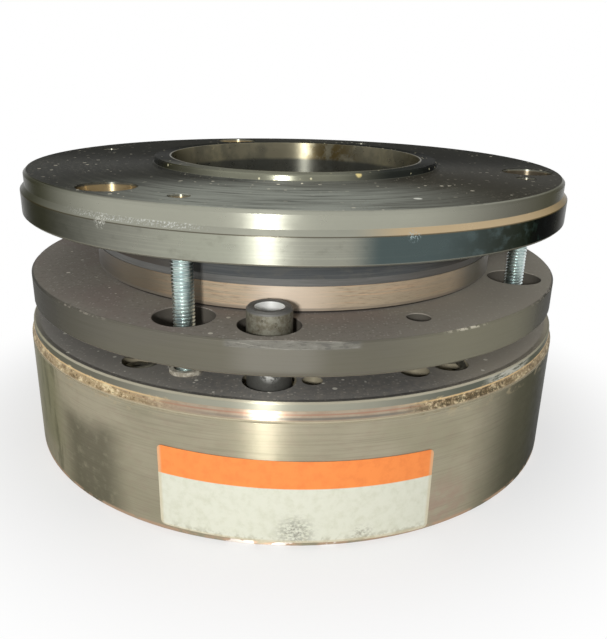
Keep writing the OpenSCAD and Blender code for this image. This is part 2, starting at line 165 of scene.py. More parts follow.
class Finish:
    """A surface finish, built up in layers whose places are millimetres on the part.

    In each section f is the finish of the piece at hand.
    """

    def __init__(self, name, colour, metal, rough, **more):
        self.material = bpy.data.materials.new(name)
        self.material.use_nodes = True
        self.tree = self.material.node_tree
        self.shader = self.tree.nodes["Principled BSDF"]
        self.shader.inputs["Base Color"].default_value = (*shade(*colour), 1)
        self.shader.inputs["Metallic"].default_value = metal
        self.shader.inputs["Roughness"].default_value = rough
        for socket, value in more.items():
            self.shader.inputs[socket.replace("_", " ")].default_value = value
        self.tone = shade(*colour)
        place = self.node("ShaderNodeTexCoord").outputs["Object"]
        self.at = self.node("ShaderNodeMapping", {"Vector": place, "Scale": (1000, 1000, 1000)}).outputs[0]
        self.x, self.y, self.z = self.node("ShaderNodeSeparateXYZ", {"Vector": self.at}).outputs
        level = {0: self.at, 1: (1, 1, 0)}
        self.flat = self.node("ShaderNodeVectorMath", level, operation="MULTIPLY").outputs[0]
        self.radius = self.node("ShaderNodeVectorMath", {0: self.flat}, operation="LENGTH").outputs["Value"]
        self.turn = self.maths("MULTIPLY", self.maths("ARCTAN2", self.y, self.x), 180 / math.pi)

    def node(self, kind, inputs=None, **settings):
        """Adds a node with its settings, and links or sets its inputs."""
        made = self.tree.nodes.new(kind)
        for key, value in settings.items():
            setattr(made, key, value)
        for key, value in (inputs or {}).items():
            if isinstance(value, bpy.types.NodeSocket):
                self.tree.links.new(value, made.inputs[key])
            else:
                made.inputs[key].default_value = value
        return made

    def maths(self, operation, *values):
        """The result of one sum, product or the like."""
        return self.node("ShaderNodeMath", dict(enumerate(values)), operation=operation).outputs[0]

    def all_of(self, first, *others):
        """The product of several masks."""
        for other in others:
            first = self.maths("MULTIPLY", first, other)
        return first

    def rise(self, value, low, high):
        """0 below low, 1 above high and smooth between; high may be the lower number."""
        return self.node("ShaderNodeMapRange", {"Value": value, "From Min": low, "From Max": high},
                         interpolation_type="SMOOTHSTEP").outputs[0]

    def band(self, value, low, high, soft):
        """1 from low to high, and 0 outside them."""
        return self.all_of(self.rise(value, low - soft, low + soft),
                           self.rise(value, high + soft, high - soft))

    def near(self, spot, reach, soft=0.6):
        """1 round a place, down to 0 at its reach."""
        far = self.node("ShaderNodeVectorMath", {0: self.at, 1: spot}, operation="DISTANCE").outputs["Value"]
        return self.rise(far, reach, reach * (1 - soft))

    def noise(self, stretch, detail=3.0, rough=0.55, vector=None):
        """Cloudy noise; stretch is its fineness along each axis, in waves to a millimetre."""
        vector = self.node("ShaderNodeMapping", {"Vector": vector or self.at, "Scale": stretch}).outputs[0]
        return self.node("ShaderNodeTexNoise", {"Vector": vector, "Scale": 1.0, "Detail": detail,
                                                "Roughness": rough}).outputs[0]

    def rings(self):
        """Place on a turned surface: radius, a little of the angle, and height."""
        along = self.maths("MULTIPLY", self.turn, 0.1)
        return self.node("ShaderNodeCombineXYZ", {"X": self.radius, "Y": along, "Z": self.z}).outputs[0]

    def specks(self, cell, size, share):
        """Grains, one to a cell at most, in that share of the cells; size is part of a cell."""
        vector = self.node("ShaderNodeMapping", {"Vector": self.at, "Scale": (1 / cell,) * 3}).outputs[0]
        grains = self.node("ShaderNodeTexVoronoi", {"Vector": vector, "Scale": 1.0})
        chosen = self.node("ShaderNodeSeparateColor", {"Color": grains.outputs["Color"]}).outputs[0]
        reach = self.maths("MULTIPLY", self.maths("SUBTRACT", chosen, 1 - share), size / share)
        return self.rise(self.maths("SUBTRACT", reach, grains.outputs["Distance"]), 0, 0.05)

    def mix(self, factor, a, b):
        """Colour a where the factor is 0 and colour b where it is 1."""
        made = self.node("ShaderNodeMix", data_type="RGBA")
        for index, value in ((0, factor), (6, a), (7, b)):
            if isinstance(value, bpy.types.NodeSocket):
                self.tree.links.new(value, made.inputs[index])
            else:
                made.inputs[index].default_value = value if index == 0 else (*value, 1)
        return made.outputs[2]

    def lay(self, mask, colour, amount=1.0):
        """Lays one more layer of colour where the mask is."""
        cover = mask if amount == 1.0 else self.maths("MULTIPLY", mask, amount)
        self.tone = self.mix(cover, self.tone, shade(*colour))
        self.tree.links.new(self.tone, self.shader.inputs["Base Color"])

    def vary(self, socket, mask, low, high):
        """Takes one of the shader's numbers from low to high with the mask."""
        made = self.node("ShaderNodeMapRange", {"Value": mask, "To Min": low, "To Max": high})
        self.tree.links.new(made.outputs[0], self.shader.inputs[socket])

    def bump(self, height, strength, deep, edge=0.0):
        """Relief, deep in millimetres; edge rounds the shine of the corners by that radius."""
        inputs = {"Height": height, "Strength": strength, "Distance": deep * mm}
        if edge:
            inputs["Normal"] = self.node("ShaderNodeBevel", {"Radius": edge * mm}, samples=4).outputs[0]
        self.tree.links.new(self.node("ShaderNodeBump", inputs).outputs[0], self.shader.inputs["Normal"])

    def turned(self, stretch):
        """Lets the shine run across the turning marks."""
        self.shader.inputs["Anisotropic"].default_value = stretch
        self.shader.inputs["Anisotropic Rotation"].default_value = 0.25
        way = self.node("ShaderNodeTangent", direction_type="RADIAL", axis="Z").outputs[0]
        self.tree.links.new(way, self.shader.inputs["Tangent"])


groove_cut, below_collar, above_collar = (30.4, 30.95), (30.95, 31.2), (34.62, 34.97)
copper_bevel, bright_collar, foot_edge = (31.15, 33.05), (33.1, 34.6), (1.6, 1.1)
bevel_in, pole_edge, pole_rim, slot_rim = (74.0, 74.25), (34.93, 34.98), (73.95, 73.75), (73.0, 72.6)
f = Finish("dull_yellow_zinc", (158, 152, 129), 0.8, 0.36, Specular_Tint=(0.34, 0.34, 0.3, 1))
f.turned(0.95)
marks = f.noise((0.05, 0.05, 3.2), 4, 0.6)
cloud = f.noise((0.035, 0.035, 0.05), 4, 0.55)
mottle = f.noise((0.35, 0.35, 0.5), 4, 0.6)
f.lay(f.rise(cloud, 0.35, 0.68), (173, 165, 143))
f.lay(f.rise(mottle, 0.45, 0.75), (162, 143, 127), 0.25)
f.lay(f.rise(marks, 0.45, 0.7), (106, 102, 86), 0.25)

# Painted shade darkens the wall round to the right, and the wall is smeared, stained and streaked at the
# left.
f.lay(f.all_of(f.rise(f.x, 38, 56), f.rise(f.y, -6, -20), f.rise(cloud, 0.15, 0.45)), (55, 57, 47), 0.8)
f.lay(f.all_of(f.rise(f.x, 55, 69), f.rise(f.y, -6, -24)), (22, 23, 19), 0.9)
f.lay(f.all_of(f.near((35, -66.4, 5.5), 11, 0.8), f.rise(mottle, 0.3, 0.6)), (172, 148, 132), 0.6)
smear_top = f.rise(f.maths("ADD", f.z, f.maths("MULTIPLY", cloud, 14)), 34, 26)
smeared = f.all_of(f.band(f.turn, -136.5, -122, 3.5), smear_top)
f.lay(f.all_of(smeared, f.rise(mottle, 0.05, 0.5)), (89, 86, 71), 0.7)
f.lay(f.all_of(f.band(f.turn, -152, -139.5, 3), f.rise(f.z, 4, 12)), (127, 126, 93), 0.55)
streaks = f.rise(f.noise((0.5, 0.5, 0.08), 4, 0.7), 0.5, 0.62)
f.lay(f.all_of(f.rise(f.turn, -136, -142), f.rise(f.turn, -172, -160), streaks), (82, 81, 61), 0.5)

# The collar at the rim is bright in front, with painted shade at both sides, and scraped at the right.
collar = f.band(f.z, *bright_collar, 0.12)
f.lay(collar, (159, 159, 145), 0.8)
# Painted shade on the collar towards the left and the right.
f.lay(f.all_of(collar, f.rise(f.x, -16, -46)), (96, 94, 82), 0.8)
f.lay(f.all_of(collar, f.rise(f.x, 8, 40)), (81, 86, 76), 0.85)
scratchy = f.rise(f.noise((0.25, 0.25, 1.6), 4, 0.75), 0.4, 0.52)
scraped = f.all_of(f.band(f.z, 32.9, 34.7, 0.15), f.near((50.5, -54, 33.8), 11, 0.5), scratchy)
f.lay(scraped, (199, 197, 184), 0.9)

# The bevel under it is rubbed down to coppery metal.
rubbed = f.all_of(f.band(f.z, *copper_bevel, 0.12), f.rise(f.radius, *bevel_in))
f.lay(rubbed, (168, 148, 128))
f.lay(f.all_of(rubbed, f.rise(mottle, 0.35, 0.65)), (180, 167, 146), 0.7)
f.lay(f.all_of(f.band(f.z, 32.2, 32.5, 0.1), rubbed), (168, 126, 105), 0.7)
f.lay(f.all_of(f.band(f.z, 31.3, 31.8, 0.15), rubbed, f.rise(f.x, -30, -4)), (108, 109, 102), 0.7)

# Dirt is crusted over bevel and groove at both sides, with a ragged edge.
crust_side = f.maths("MAXIMUM", f.rise(f.x, 20, 34), f.rise(f.x, -20, -38))
crumbs = f.noise((1.1, 1.1, 1.4), 4, 0.7)
blotches = f.noise((0.3, 0.3, 0.55), 4, 0.7)
ragged = f.maths("ADD", f.z, f.maths("MULTIPLY", f.maths("SUBTRACT", blotches, 0.5), 3.2))
crusted = f.all_of(f.band(ragged, 30.5, 32.9, 0.35), f.rise(f.radius, 73.9, 74.2), crust_side)
f.lay(crusted, (164, 144, 108), 0.85)
f.lay(f.all_of(crusted, f.rise(blotches, 0.5, 0.62)), (112, 94, 64), 0.75)
f.lay(f.all_of(crusted, f.rise(blotches, 0.47, 0.38)), (216, 200, 160), 0.85)
f.lay(f.all_of(crusted, f.rise(crumbs, 0.56, 0.64)), (58, 50, 36), 0.7)
f.lay(f.all_of(crusted, f.rise(crumbs, 0.43, 0.36)), (228, 208, 174), 0.6)
f.lay(f.all_of(crusted, f.band(f.x, 26, 50, 6), f.rise(crumbs, 0.4, 0.55)), (62, 54, 40), 0.75)
f.lay(f.all_of(f.band(f.z, 32.75, 33.05, 0.1), crust_side, f.rise(mottle, 0.3, 0.45)), (228, 196, 144), 0.8)
f.lay(f.all_of(f.band(f.z, 28.6, 30.6, 0.8), crust_side, f.rise(blotches, 0.5, 0.62)), (184, 170, 140), 0.5)

# Groove, corners and the worn foot: light dust in the groove, which also paints out its shade, painted glints
# along the corners, and painted glints on the worn foot.
groove = f.band(f.z, *groove_cut, 0.08)
# The light dust laid in the groove also paints out the groove's shade.
f.lay(groove, (184, 176, 152), 0.85)
# Painted glints along the corners above and below the collar.
f.lay(f.band(f.z, *above_collar, 0.06), (186, 181, 161), 0.7)
f.lay(f.band(f.z, *below_collar, 0.08), (171, 155, 131), 0.6)
worn_foot = f.noise((0.16, 0.16, 0.3), 3, 0.6)
worn_and_glinting_foot = f.all_of(f.rise(f.z, 1.5, 1.2), f.near((-4, -75, 0), 22, 0.4), f.rise(worn_foot, 0.5, 0.54))
f.lay(f.all_of(f.rise(f.z, *foot_edge), f.rise(worn_foot, 0.36, 0.48)), (188, 160, 135))
# Painted glint on the bare worn metal at the front of the foot.
f.lay(worn_and_glinting_foot, (239, 229, 218))

# Inside the rim and on the pole face lies grey brake dust with light specks. Painted light lifts the upper
# walls inside the rim out of their shade, and the pole face is lighter towards both sides.
pole = f.all_of(f.rise(f.z, *pole_edge), f.rise(f.radius, *pole_rim))
inside = f.rise(f.radius, *slot_rim)
pole_dust = f.noise((0.6, 0.6, 0.6), 5, 0.7)
f.lay(inside, (96, 92, 82))
# Painted light on the upper walls inside the rim, against their shade.
f.lay(f.all_of(inside, f.rise(f.z, 28, 32)), (152, 144, 122), 0.9)
f.lay(pole, (119, 117, 113))
f.lay(f.all_of(pole, f.rise(pole_dust, 0.4, 0.65)), (141, 136, 127), 0.7)
f.lay(f.all_of(pole, f.rise(f.x, 24, 46)), (178, 170, 154), 0.75)
f.lay(f.all_of(pole, f.rise(f.x, -16, -34)), (146, 142, 134), 0.7)
f.lay(f.all_of(pole, f.specks(0.7, 0.5, 0.5)), (176, 172, 160), 0.55)
f.lay(f.all_of(pole, f.specks(2.3, 0.28, 0.4)), (226, 222, 208), 0.85)
covered = f.maths("MAXIMUM", f.maths("MAXIMUM", inside, crusted), groove)
f.vary("Metallic", covered, 0.8, 0.12)
f.vary("Roughness", f.maths("MAXIMUM", covered, f.maths("MULTIPLY", mottle, 0.3)), 0.28, 0.75)
relief = f.maths("ADD", f.maths("MULTIPLY", marks, 0.5), f.maths("MULTIPLY", pole_dust, 0.5))
f.bump(relief, 0.2, 0.08, edge=0.2)
nodes["magnet_body"].material_slots[0].material = f.material

# The armature plate is a flat ground steel disc with one short bevel filed on its front edge. Friction
# dust lies on it in a dull brownish grey coat, and its edge is plain turned steel with rubbed corners.
top_corner, lower_corner, dust_rim = (47.35, 47.6), (40.15, 40.5), (73.2, 72.8)
bevel_foot, bevel_top, bevel_back = (46.2, 46.5), (47.88, 47.8), (68.5, 69)
f = Finish("dusty_ground_steel", (103, 100, 90), 0.5, 0.46, Specular_Tint=(0.2, 0.2, 0.18, 1),
           Specular_IOR_Level=0.25)
edge_marks = f.noise((0.06, 0.06, 2.4), 3, 0.6)
cloud = f.noise((0.05, 0.05, 0.08), 3, 0.5)
chips = f.noise((0.7, 0.7, 0.9), 4, 0.7)
f.lay(f.rise(edge_marks, 0.4, 0.7), (95, 92, 82), 0.5)
f.lay(f.rise(cloud, 0.4, 0.65), (103, 100, 86), 0.5)
# The plate is lighter right of the middle, and painted shade darkens its edge towards both ends.
f.lay(f.rise(f.x, 14, 38), (126, 123, 105), 0.7)
f.lay(f.rise(f.x, -34, -66), (63, 61, 53), 0.9)
f.lay(f.rise(f.x, 50, 67), (43, 42, 37), 0.85)
f.lay(f.all_of(f.near((-3, -73, 44), 12), f.rise(f.z, 40.6, 42)), (134, 131, 123), 0.4)
f.lay(f.all_of(f.band(f.z, *lower_corner, 0.1), f.rise(cloud, 0.3, 0.5)), (168, 158, 140), 0.7)
f.lay(f.all_of(f.band(f.z, 40.9, 41.1, 0.1), f.near((4, -73, 41), 26)), (98, 90, 84), 0.5)

# The top corner is knocked in three places, and the front bevel is filed.
nicked = f.all_of(f.rise(f.z, 47.3, 47.7), f.near((37.5, -63, 47.7), 7.5, 0.7), f.rise(chips, 0.46, 0.54))
f.lay(nicked, (206, 200, 180), 0.85)
knocked = f.maths("MAXIMUM", f.near((-48, -56, 47.8), 12), f.near((62, -38, 47.8), 14))
f.lay(f.all_of(f.rise(f.z, *top_corner), knocked, f.rise(chips, 0.5, 0.58)), (160, 152, 140), 0.6)
bevelled = f.all_of(f.near((0, -73, 47.4), 14.5, 0.12), f.rise(f.z, *bevel_foot), f.rise(f.z, *bevel_top),
                    f.rise(f.radius, *bevel_back))
file_marks = f.noise((0.35, 1.4, 1.4), 4, 0.7)
f.lay(bevelled, (118, 116, 108), 0.9)
f.lay(f.all_of(bevelled, f.rise(file_marks, 0.5, 0.6)), (88, 86, 82), 0.6)
f.lay(f.all_of(bevelled, f.rise(file_marks, 0.42, 0.34)), (142, 139, 132), 0.5)

# Dust covers the top and the walls of its windows; the top is lighter towards the right, and painted shade
# darkens the window walls below the top.
dust = f.noise((0.9, 0.9, 0.9), 5, 0.7)
drift = f.noise((0.06, 0.06, 0.06), 3, 0.5)
inside = f.all_of(f.rise(f.radius, *dust_rim), f.maths("SUBTRACT", 1.0, bevelled))
f.lay(inside, (150, 144, 134))
f.lay(f.all_of(inside, f.rise(dust, 0.5, 0.3)), (126, 121, 111), 0.8)
f.lay(f.all_of(inside, f.rise(drift, 0.42, 0.66)), (142, 129, 123), 0.5)
f.lay(f.all_of(inside, f.rise(f.x, 14, 44)), (174, 168, 154), 0.75)
f.lay(f.all_of(inside, f.specks(0.7, 0.5, 0.45)), (190, 184, 172), 0.5)
f.lay(f.all_of(inside, f.specks(2.8, 0.22, 0.3), f.rise(f.x, 10, -30)), (240, 234, 218), 0.9)
# Painted shade on the walls of the windows.
f.lay(f.all_of(inside, f.rise(f.z, 47.8, 47.6)), (84, 80, 73), 0.95)
f.vary("Metallic", inside, 0.5, 0.05)
f.vary("Roughness", f.maths("MAXIMUM", inside, f.maths("MULTIPLY", edge_marks, 0.4)), 0.4, 0.8)
f.bump(dust, 0.3, 0.08, edge=0.15)
nodes["armature_plate"].material_slots[0].material = f.material

# The rotor: two rings of pressed friction material bonded to a thin steel carrier disc. The lower ring is
# tan with a fine grain along its rim, a painted highlight in front, painted shade towards the sides and a
# painted shadow line at its foot; the upper one is dark grey, with painted shade towards the sides.
lining_foot, shaded_foot, carrier_rim = (49.3, 48.9), (48.5, 48.3), (54, 50)
f = Finish("tan_friction_lining", (176, 160, 136), 0.1, 0.4)
f.turned(0.8)
grain = f.noise((0.05, 0.05, 2.8), 4, 0.65)
fibre = f.noise((0.35, 0.35, 6.0), 4, 0.65)
f.lay(f.rise(grain, 0.45, 0.65), (202, 170, 138), 0.75)
f.lay(f.rise(fibre, 0.5, 0.66), (118, 100, 80), 0.5)
# Painted highlight on the front of the lining.
f.lay(f.near((0, -56, 51), 13, 0.8), (214, 196, 174), 0.8)
# Painted shade towards both sides.
f.lay(f.rise(f.x, -16, -36), (71, 65, 52), 0.85)
f.lay(f.rise(f.x, -40, -52), (58, 52, 42), 0.85)
f.lay(f.rise(f.x, 14, 36), (140, 125, 102), 0.6)
f.lay(f.rise(f.x, 37, 45), (86, 81, 67), 0.85)
f.lay(f.all_of(f.rise(f.z, *lining_foot), f.rise(grain, 0.2, 0.5)), (104, 98, 90), 0.6)
# Painted shadow line along the foot, where the lining stands on the plate.
f.lay(f.rise(f.z, *shaded_foot), (26, 25, 24), 0.9)
f.vary("Roughness", grain, 0.36, 0.6)
f.bump(grain, 0.25, 0.08)
nodes["lower_lining"].material_slots[0].material = f.material

f = Finish("dark_grey_friction_lining", (68, 71, 72), 0.0, 0.75, Specular_IOR_Level=0.2)
grain = f.noise((0.06, 0.06, 2.2), 4, 0.65)
f.lay(f.rise(grain, 0.35, 0.7), (88, 89, 88), 0.8)
f.lay(f.rise(f.noise((0.2, 0.2, 0.4), 4, 0.6), 0.5, 0.62), (98, 96, 88), 0.25)
# Painted shade towards both sides.
f.lay(f.rise(f.x, 24, 44), (66, 60, 52), 0.8)
f.lay(f.rise(f.x, -16, -38), (66, 58, 50), 0.8)
f.bump(grain, 0.3, 0.08)
nodes["upper_lining"].material_slots[0].material = f.material

f = Finish("rolled_carrier_steel", (94, 94, 91), 0.45, 0.5)
grain = f.noise((0.1, 0.1, 1.8), 4, 0.6)
f.lay(f.rise(grain, 0.3, 0.7), (112, 111, 108), 0.8)
# Painted shade towards the right.
f.lay(f.rise(f.x, 16, 40), (80, 75, 68), 0.8)
f.lay(f.rise(f.radius, *carrier_rim), (120, 116, 106), 0.8)
f.bump(grain, 0.2, 0.05)
nodes["rotor_carrier"].material_slots[0].material = f.material

# The flange is one turned steel ring: a wide rim, a narrower step, a low collar round the bore, with three
# large fixing holes and tapped holes for the screws. Its top is dark with oil and brake dust, the step and
# the rim are bright and grey, the rim with a painted teal reflection and painted shade on the right, and
# knocks have left flecks on the ledge between them.
under_face, rim_foot, step_edge = (63.45, 63.41), (64.0, 63.8), (70.4, 70.6)
ledge_line, ledge_face, ledge_out = (69.2, 69.42), (69.35, 70.5), (60, 70)
face_edge, face_span, collar_edge = (73.9, 74.0), (39.75, 72.1), (74.15, 74.3)
hole_wall, hole_span, collar_out, collar_in = (63.7, 73.5), (50, 71.6), (39.8, 39.7), (35.3, 35.5)
bore_edge, bore_shade = (35.5, 35.2), (71.6, 70.4)
f = Finish("turned_flange_steel", (144, 144, 132), 0.85, 0.34, Specular_Tint=(0.3, 0.3, 0.28, 1),
           Specular_IOR_Level=0.015)
f.turned(0.85)
marks = f.noise((2.2, 0.25, 2.6), 4, 0.6, f.rings())
mottle = f.noise((0.3, 0.3, 0.5), 4, 0.6)
haze = f.noise((0.03, 0.03, 0.03), 4, 0.6)
f.lay(f.rise(marks, 0.45, 0.7), (162, 162, 147), 0.6)
# Painted highlight: a lighter band left of the middle widens the shine on the rim.
f.lay(f.band(f.x, -24, -8, 9), (162, 164, 148), 0.7)
f.lay(f.rise(mottle, 0.5, 0.75), (104, 104, 92), 0.3)
# Painted shade towards the left end of the front.
f.lay(f.all_of(f.rise(f.x, -22, -56), f.rise(f.y, 0, -24)), (53, 53, 49), 0.85)
f.lay(f.all_of(f.rise(f.x, -58, -70), f.rise(f.y, 0, -24)), (32, 32, 28), 0.85)

# Painted reflection and shade: the rim turns teal from the middle to the right and goes dark towards its
# right end.
teal_reflection_and_shade = f.all_of(f.rise(f.x, 9, 17), f.rise(f.z, 70.0, 69.4), f.rise(f.y, 8, -20))
f.lay(teal_reflection_and_shade, (66, 80, 81), 0.92)
f.lay(f.all_of(teal_reflection_and_shade, f.rise(f.x, 26, 46), f.rise(mottle, 0.25, 0.55)), (47, 50, 43), 0.9)
f.lay(f.all_of(teal_reflection_and_shade, f.rise(f.x, 45, 64)), (7, 8, 7), 0.93)
f.lay(f.all_of(f.rise(f.z, *rim_foot), f.rise(f.radius, 72.5, 73.2)), (162, 158, 143), 0.55)

# The step and the ledge at its foot are bright, with painted shade towards their ends, tanned at the right
# and flecked by knocks.
stepped = f.all_of(f.rise(f.z, *step_edge), f.rise(f.radius, 72.2, 72.5))
f.lay(stepped, (160, 160, 146), 0.9)
# Painted shade towards both ends of the step.
f.lay(f.all_of(stepped, f.rise(f.x, -36, -62)), (64, 64, 57), 0.87)
f.lay(f.all_of(stepped, f.rise(f.x, 20, 50)), (86, 84, 75), 0.8)
outer = f.rise(f.radius, *ledge_out)
ledge = f.all_of(f.band(f.z, *ledge_face, 0.06), outer)
f.lay(ledge, (155, 155, 142), 0.95)
# Painted shade at the left of the ledge.
f.lay(f.all_of(ledge, f.rise(f.x, -34, -66)), (69, 69, 62), 0.85)
f.lay(f.all_of(f.band(f.z, 69.25, 70.6, 0.1), f.rise(f.x, 10, 24), outer), (193, 171, 136), 0.95)
# Painted shade: a thin dark line in the corner at the ledge's foot.
f.lay(f.all_of(f.band(f.z, *ledge_line, 0.05), outer), (78, 72, 58), 0.8)
scuffs = f.noise((2.6, 2.6, 1.6), 4, 0.8)
chipped = f.all_of(f.band(f.z, 69.7, 70.75, 0.1), f.band(f.x, -46, -18, 4), outer, f.rise(scuffs, 0.54, 0.58))
f.lay(chipped, (196, 198, 192), 0.85)
f.lay(f.all_of(f.near((23.2, -70.3, 69.3), 1.7, 0.5), f.rise(scuffs, 0.53, 0.57)), (170, 188, 188), 0.85)
f.lay(f.all_of(f.near((-39.5, -62.6, 69.4), 2.0, 0.5), f.rise(scuffs, 0.5, 0.55)), (206, 206, 196), 0.85)
holes = f.all_of(f.band(f.z, *hole_wall, 0.2), f.band(f.radius, *hole_span, 0.3))
f.lay(holes, (178, 159, 122))
# Painted shade on the walls of the right hole.
f.lay(f.all_of(holes, f.rise(f.x, 16, 24)), (99, 92, 80), 0.9)

# The top is dull with oil and dust, with a painted sheen in front and painted shade towards the back, and
# carries light specks in clusters.
face = f.all_of(f.rise(f.z, *face_edge), f.band(f.radius, *face_span, 0.12))
streaks = f.noise((0.7, 0.5, 0.5), 5, 0.65, f.rings())
fine_streaks = f.noise((3.0, 0.7, 1.0), 4, 0.7, f.rings())
f.lay(face, (64, 64, 60))
f.lay(f.all_of(face, f.rise(streaks, 0.42, 0.68)), (82, 82, 76), 0.6)
f.lay(f.all_of(face, f.rise(f.x, 4, 34), f.rise(f.y, 10, -20)), (72, 69, 60), 0.75)
f.lay(f.all_of(face, f.rise(fine_streaks, 0.5, 0.72)), (80, 78, 69), 0.35)
aside = f.maths("ABSOLUTE", f.maths("ADD", f.x, 4))
front_sheen = f.all_of(f.rise(f.y, -30, -56), f.rise(aside, 52, 8))
# Painted sheen on the front of the top.
f.lay(f.all_of(face, front_sheen, f.rise(streaks, 0.2, 0.6)), (188, 192, 180), 0.8)
f.lay(f.all_of(face, f.near((8, -36, 74.1), 18)), (110, 110, 100), 0.4)
cluster = f.maths("ADD", f.maths("MULTIPLY", f.rise(haze, 0.46, 0.6), 0.8), 0.2)
f.lay(f.all_of(face, cluster, f.specks(0.6, 0.55, 0.5)), (128, 125, 111), 0.55)
# Painted shade towards the back of the top.
f.lay(f.all_of(face, f.rise(f.y, -20, 20)), (44, 44, 41), 0.6)
f.lay(f.all_of(face, cluster, f.specks(1.9, 0.3, 0.42)), (232, 226, 204), 0.95)
f.lay(f.all_of(face, f.near((25.6, -57, 74.1), 1.1, 0.35)), (238, 238, 226))

# The collar is bright in front only, where a highlight is painted, with painted shade at its sides and back;
# the bore is bright above, with painted shade lower down, and stained at the back.
collar = f.all_of(f.rise(f.z, *collar_edge), f.rise(f.radius, *collar_out), f.rise(f.radius, *collar_in))
collar_back_shade, collar_right_shade = f.rise(f.y, -28, -12), f.rise(f.x, 6, 24)
f.lay(collar, (126, 126, 110), 0.9)
# Painted shade on the collar at the right, the left and the back.
f.lay(f.all_of(collar, collar_right_shade), (34, 38, 37), 0.92)
f.lay(f.all_of(collar, f.rise(f.x, -14, -30)), (62, 61, 50), 0.85)
f.lay(f.all_of(collar, collar_back_shade), (30, 31, 28), 0.92)
f.lay(f.all_of(collar, f.specks(1.2, 0.3, 0.25)), (232, 226, 190), 0.9)
f.lay(f.near((14.9, -36.4, 76), 1.0, 0.5), (232, 214, 150))
bore = f.rise(f.radius, *bore_edge)
f.lay(bore, (145, 139, 117))
f.lay(f.all_of(bore, f.rise(f.noise((0.12, 0.12, 0.1), 4, 0.65), 0.42, 0.6)), (110, 108, 94), 0.6)
stain = f.rise(f.noise((0.25, 0.25, 0.2), 4, 0.7), 0.38, 0.55)
f.lay(f.all_of(bore, f.near((12, 33, 71), 13, 0.8), stain), (94, 78, 40), 0.85)
# Painted shade on the lower part of the bore, cast by the near side of the collar.
f.lay(f.all_of(bore, f.rise(f.z, *bore_shade)), (74, 76, 72), 0.85)
f.lay(f.rise(f.z, *under_face), (104, 104, 98))
dull = f.maths("MAXIMUM", face, f.all_of(collar, f.maths("MAXIMUM", collar_back_shade, collar_right_shade)))
# The top loses its metal where it is dull, most of all under the painted sheen.
dust_and_sheen = f.maths("ADD", f.maths("MULTIPLY", front_sheen, 0.6), 0.4)
f.vary("Metallic", f.all_of(f.maths("MAXIMUM", dull, chipped), dust_and_sheen), 0.85, 0.0)
roughened = f.maths("MAXIMUM", f.maths("MULTIPLY", dull, 0.8), f.maths("MULTIPLY", mottle, 0.3))
f.vary("Roughness", roughened, 0.22, 0.75)
f.bump(f.maths("ADD", marks, f.maths("MULTIPLY", streaks, 0.6)), 0.15, 0.06, edge=0.2)
nodes["flange"].material_slots[0].material = f.material

# Three hollow guide sleeves are turned from steel and screwed into the pole face. Their outside is grey
# and spotted with brown grime, the chamfered ring on top is darker, painted shade darkens their lower part
# under the armature plate, with a painted highlight on a worn spot, and the bore is painted bright.
sleeve_circle, sleeve_turns, bore_edge = 63.5, (-94.5, 25.5, 145.5), (3.28, 3.22)
ring_edge, ring_top, sleeve_foot = (51.3, 51.5), (52.1, 52.18), (42, 40)
f = Finish("grimy_sleeve_steel", (132, 130, 116), 0.45, 0.44)
grime = f.noise((0.8, 0.8, 0.8), 5, 0.75)
f.lay(f.rise(grime, 0.36, 0.64), (88, 80, 62), 0.75)
f.lay(f.specks(0.7, 0.5, 0.4), (60, 51, 36), 0.5)
f.lay(f.rise(f.z, *ring_edge), (112, 111, 107), 0.95)
f.lay(f.all_of(f.rise(f.z, *ring_top), f.rise(grime, 0.5, 0.4)), (140, 139, 134), 0.8)
# Painted shade on the lower part, under the armature plate.
f.lay(f.rise(f.z, *sleeve_foot), (74, 74, 72), 0.85)
# Painted highlight on a worn spot in that shade.
f.lay(f.all_of(f.near((-4.6, -68.6, 39.2), 3.2, 0.6), f.rise(grime, 0.46, 0.54)), (206, 206, 200), 0.8)
# Painted light in the bores.
for azimuth in sleeve_turns:
    turn = math.radians(azimuth)
    axis = (sleeve_circle * math.cos(turn), sleeve_circle * math.sin(turn), 0)
    off_axis = f.node("ShaderNodeVectorMath", {0: f.flat, 1: axis}, operation="DISTANCE").outputs["Value"]
    f.lay(f.rise(off_axis, *bore_edge), (250, 250, 246), 0.95)
f.vary("Roughness", grime, 0.32, 0.6)
f.bump(grime, 0.3, 0.08, edge=0.15)
for number in (1, 2, 3):
    nodes[f"guide_sleeve_{number}"].material_slots[0].material = f.material

# Small moulded and hidden parts: white plastic bushes round the screws, the bobbin, the enamelled copper
# winding, the cast sealing compound over it and the keyed and splined hub.
f = Finish("dusty_white_plastic", (190, 184, 168), 0.0, 0.55)
soil = f.noise((0.9, 0.9, 0.9), 4, 0.7)
f.lay(f.rise(soil, 0.4, 0.6), (124, 116, 100), 0.8)
f.bump(soil, 0.3, 0.1, edge=0.2)
nodes["screw_bushes"].material_slots[0].material = f.material

f = Finish("bobbin_plastic", (206, 200, 178), 0.0, 0.55)
soil = f.noise((0.4, 0.4, 0.4), 3, 0.6)
f.lay(f.rise(soil, 0.3, 0.7), (186, 178, 154))
f.bump(soil, 0.1, 0.05)
nodes["coil_bobbin"].material_slots[0].material = f.material

f = Finish("enamelled_copper", (160, 82, 44), 0.9, 0.32)
wires = f.node("ShaderNodeTexWave", {"Vector": f.at, "Scale": 0.35, "Distortion": 0.2}, wave_type="BANDS",
               bands_direction="Z").outputs[1]
f.lay(wires, (204, 122, 74))
f.bump(wires, 0.6, 0.3)
nodes["coil_winding"].material_slots[0].material = f.material

f = Finish("cast_sealing_compound", (58, 55, 52), 0.0, 0.5)
pour = f.noise((0.2, 0.2, 0.2), 4, 0.6)
f.lay(f.rise(pour, 0.35, 0.65), (84, 80, 74))
f.bump(pour, 0.3, 0.2)
nodes["coil_potting"].material_slots[0].material = f.material

